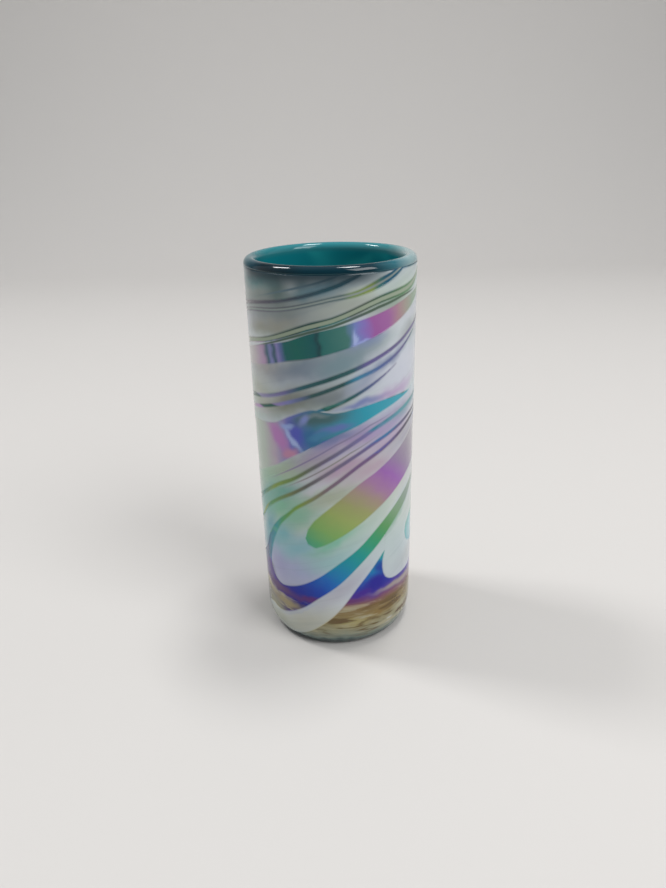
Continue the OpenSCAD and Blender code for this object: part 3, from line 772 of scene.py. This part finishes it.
def opal_white_glass():
    """Opal white glass, combed and marvered flush: a dense milky white whose thin edge takes the
    film's colour, with faint gathered lines from the combing, washes of colour from the film, and painted
    shade that greys it towards the upper left."""
    material, tree = new_material("opal_white_glass")
    lustre = add(tree, "Attribute", attribute_name="film").outputs["Color"]
    # The opal's tints, with painted shade that greys it towards the upper left
    milky = add(tree, "Attribute", attribute_name="wash_and_shade").outputs["Color"]
    place, arc_mm, height_mm = unrolled(tree)
    flat = add(tree, "CombineXYZ", {"X": arc_mm, "Y": height_mm}).outputs[0]
    # Denser and thinner clouds of opal about 11 mm across
    cloud = add(tree, "TexNoise", {"Vector": place, "Scale": 90.0, "Detail": 2.0}).outputs[0]
    milky = mixed(tree, maths(tree, "MULTIPLY", smooth_step(tree, cloud, 0.55, 0.35), 0.12), milky,
        linear("#a8b4bc"))
    # Combing lines about 1 mm apart, drawn out along the trails' climb of about one in three
    drawn = add(tree, "Mapping", {"Vector": flat, "Rotation": (0, 0, math.radians(19)),
        "Scale": (30.0, 1.1, 1.0)}, vector_type="TEXTURE")
    combing = add(tree, "TexNoise", {"Vector": drawn.outputs[0], "Scale": 1.0, "Detail": 2.0}).outputs[0]
    milky = mixed(tree, maths(tree, "MULTIPLY", smooth_step(tree, combing, 0.5, 0.3), 0.10), milky,
        linear("#7f8a94"))
    for places, thread in THREADS:
        milky = thread_over(tree, milky, arc_mm, height_mm, places, thread)
    edge = add(tree, "Attribute", attribute_name="edge_mm").outputs["Fac"]
    thin = maths(tree, "MULTIPLY", smooth_step(tree, edge, 0.5, 0.0), 0.7)
    colour = mixed(tree, thin, mixed(tree, 0.08, milky, lustre), lustre)
    colour = mixed(tree, maths(tree, "MULTIPLY", under_lip(tree, arc_mm, height_mm), 0.93), colour,
        linear(DARK_UNDER_LIP))
    shader = add(tree, "BsdfPrincipled", {"Base Color": colour, "Roughness": 0.2, "IOR": 1.5,
        "Specular IOR Level": 0.3, "Coat Weight": 0.1, "Coat Roughness": 0.03})
    finish_material(tree, shader)
    return material


def teal_cup_glass():
    """Teal glass, coloured to look lit through: the material lets no light pass, so painted shade that
    darkens the cup towards its bottom, painted light in bright waves and the lip's change from dark to
    pale are all in its base colour."""
    material, tree = new_material("teal_cup_glass")
    place, arc_mm, height_mm = unrolled(tree)
    # Painted light: bright patches where slow waves in the blown wall, 20 mm and more across, gather the
    # light
    wave_light = add(tree, "TexNoise", {"Vector": place, "Scale": 42.0, "Detail": 1.0,
        "Distortion": 1.2}).outputs[0]
    # Painted shade: the cup darker towards its bottom
    body = mixed(tree, smooth_step(tree, height_mm, 30.0, 99.0), linear("#06404a"), linear("#127680"))
    body = mixed(tree, smooth_step(tree, wave_light, 0.45, 0.7), body, linear("#2b9a9c"))
    lip = ramp(tree, across_front(tree, arc_mm, 180.0),
        [((turn + 180) / 360, linear(shade)) for turn, shade in LIP_BY_TURN])
    colour = mixed(tree, smooth_step(tree, height_mm, 98.6, 99.9), body, lip)
    shader = add(tree, "BsdfPrincipled", {"Base Color": colour, "Roughness": 0.05, "IOR": 1.5,
        "Specular IOR Level": 0.3, "Coat Weight": 0.05, "Coat Roughness": 0.02})
    finish_material(tree, shader)
    return material


def backdrop_cloth():
    """Plain pale cloth of the studio sweep."""
    material, tree = new_material("backdrop_cloth")
    shader = add(tree, "BsdfPrincipled", {"Base Color": linear("#c8c5c2"), "Roughness": 0.9})
    finish_material(tree, shader)
    return material


# ---------------------------------------------------------------- pieces


def clear_casing():
    """The casing and foot: under the base, round the heel, up the lustred wall and back down inside
    the teal cup's glass, which hides its inner face."""
    steps, heel_rows, wall_rows, around = 10, 15, 220, 320
    dish_r = (PONTIL_R**2 + PONTIL_DEPTH**2) / (2 * PONTIL_DEPTH)
    dish_angle = math.degrees(math.asin(PONTIL_R / dish_r))
    dish = arc((0, PONTIL_DEPTH - dish_r), (dish_r, dish_r), 90, 90 - dish_angle, steps)
    heel = [(0.0, HEEL_HEIGHT * (1 - math.cos(a))) for a in np.linspace(0, math.pi / 2, heel_rows)[:-1]]
    wall = heel + [(0.0, z) for z in np.linspace(HEEL_HEIGHT, WALL_TOP, wall_rows)]
    middle = cup_line(TEAL_WALL / 2, TEAL_FLOOR / 2, steps)
    inner = [(LIP_R - CLEAR_WALL - TEAL_WALL / 2, WALL_TOP)] + middle[::-1]
    profile = dish + wall + inner
    first = len(dish) - 1
    return turned("lustred_casing", profile, around, range(first, first + len(wall)))


def teal_cup():
    """The cup: its underside, its outer wall inside the casing, the rolled lip and its inner wall."""
    steps, bead_steps, outer_rows, inner_rows, around = 12, 24, 8, 30, 192
    out = cup_line(0, 0, steps)
    inside = cup_line(TEAL_WALL, TEAL_FLOOR, steps)
    bead = arc((LIP_R - LIP_BEAD, WALL_TOP), (LIP_BEAD - WALL_INSET, LIP_BEAD), 0, 180, bead_steps)
    outer_wall = [(LIP_R - CLEAR_WALL, z) for z in np.linspace(CUP_STRAIGHT_FROM, WALL_TOP, outer_rows)]
    inner_wall = [(LIP_R - 2 * LIP_BEAD, z)
        for z in np.linspace(WALL_TOP, CUP_STRAIGHT_FROM, inner_rows)[1:]]
    return turned("teal_cup_glass", out + outer_wall + bead + inner_wall + inside[::-1], around)


def sweep():
    """Floor and backdrop in one sheet: flat, then a quarter round up to a wall behind."""
    front, back, bend, top, half_width = -1.2, 0.55, 0.35, 1.6, 1.6
    line = [(front, 0.0), (back, 0.0)] + [(back + bend * math.sin(a), bend * (1 - math.cos(a)))
        for a in np.linspace(0, math.pi / 2, 24)[1:]] + [(back + bend, top)]
    y, z = np.array(line).T
    across = np.array([-half_width, half_width])
    points = np.stack([np.repeat(across[None, :], len(y), 0), np.repeat(y[:, None], 2, 1),
        np.repeat(z[:, None], 2, 1)], -1)
    i = np.arange(len(y) - 1) * 2
    return make_mesh("studio_sweep", points, np.stack([i, i + 1, i + 3, i + 2], -1).tolist())


def add_camera():
    """The camera stands in front and above, looks down, and is rolled a little about its own axis."""
    place = Matrix.Translation((-0.52 * MM, -163.5 * MM, 124.5 * MM))
    looking_down, roll = 24.08, -1.564
    data = bpy.data.cameras.new("camera")
    data.lens = 27.13
    data.sensor_width = 36
    data.clip_start = 0.01
    camera = bpy.data.objects.new("camera", data)
    camera.matrix_world = (place @ Matrix.Rotation(math.radians(90 - looking_down), 4, "X")
        @ Matrix.Rotation(math.radians(roll), 4, "Z"))
    bpy.context.scene.collection.objects.link(camera)
    bpy.context.scene.camera = camera


def add_lamp(name, place, target, size, power):
    """A soft white rectangular lamp that faces a target: sizes in metres and power in watts."""
    data = bpy.data.lights.new(name, "AREA")
    data.shape = "RECTANGLE"
    data.size, data.size_y = size
    data.energy = power
    lamp = bpy.data.objects.new(name, data)
    lamp.location = place
    direction = np.array(target) - np.array(place)
    lamp.rotation_euler = Vector(direction).to_track_quat("-Z", "Y").to_euler()
    bpy.context.scene.collection.objects.link(lamp)


def light_studio():
    """A bright room, dimmer in front of the vase, with a broad soft key from the right and two windows
    above and behind, which draw the crisp lights on the lip."""
    world = bpy.data.worlds.new("studio")
    bpy.context.scene.world = world
    world.use_nodes = True
    tree = world.node_tree
    background = tree.nodes["Background"]
    way = add(tree, "SeparateXYZ", {0: add(tree, "TexCoord").outputs["Generated"]})
    room = mixed(tree, smooth_step(tree, way.outputs["Y"], -0.9, 0.3), linear("#8d9296"), linear("#e8eaec"))
    tree.links.new(room, background.inputs["Color"])
    background.inputs["Strength"].default_value = 0.68
    add_lamp("key", (0.55, -0.45, 0.75), (0, 0, 0.04), (0.5, 0.5), 5.5)
    add_lamp("left_window", (-0.55, 0.2, 0.9), (0, 0, 0.1), (0.16, 0.25), 3.8)
    add_lamp("right_window", (0.2, 0.15, 1.05), (0, 0, 0.1), (0.26, 0.18), 3.8)
    bpy.context.scene.view_settings.view_transform = "Standard"


add_camera()
light_studio()
floor = sweep()
floor.data.materials.append(backdrop_cloth())

casing = clear_casing()
paint(casing)
casing.data.materials.append(lustred_clear_glass())
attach(casing, "root")
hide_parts("clear_casing")

cup = teal_cup()
cup.data.materials.append(teal_cup_glass())
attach(cup, "root")
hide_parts("teal_cup")

opal_finish = opal_white_glass()
for depth_of, start, end, runs_into in TRAILS:
    piece = trail(depth_of, start, end, runs_into)
    paint(piece)
    piece.data.materials.append(opal_finish)
    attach(piece, "root")
    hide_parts(depth_of.__name__)
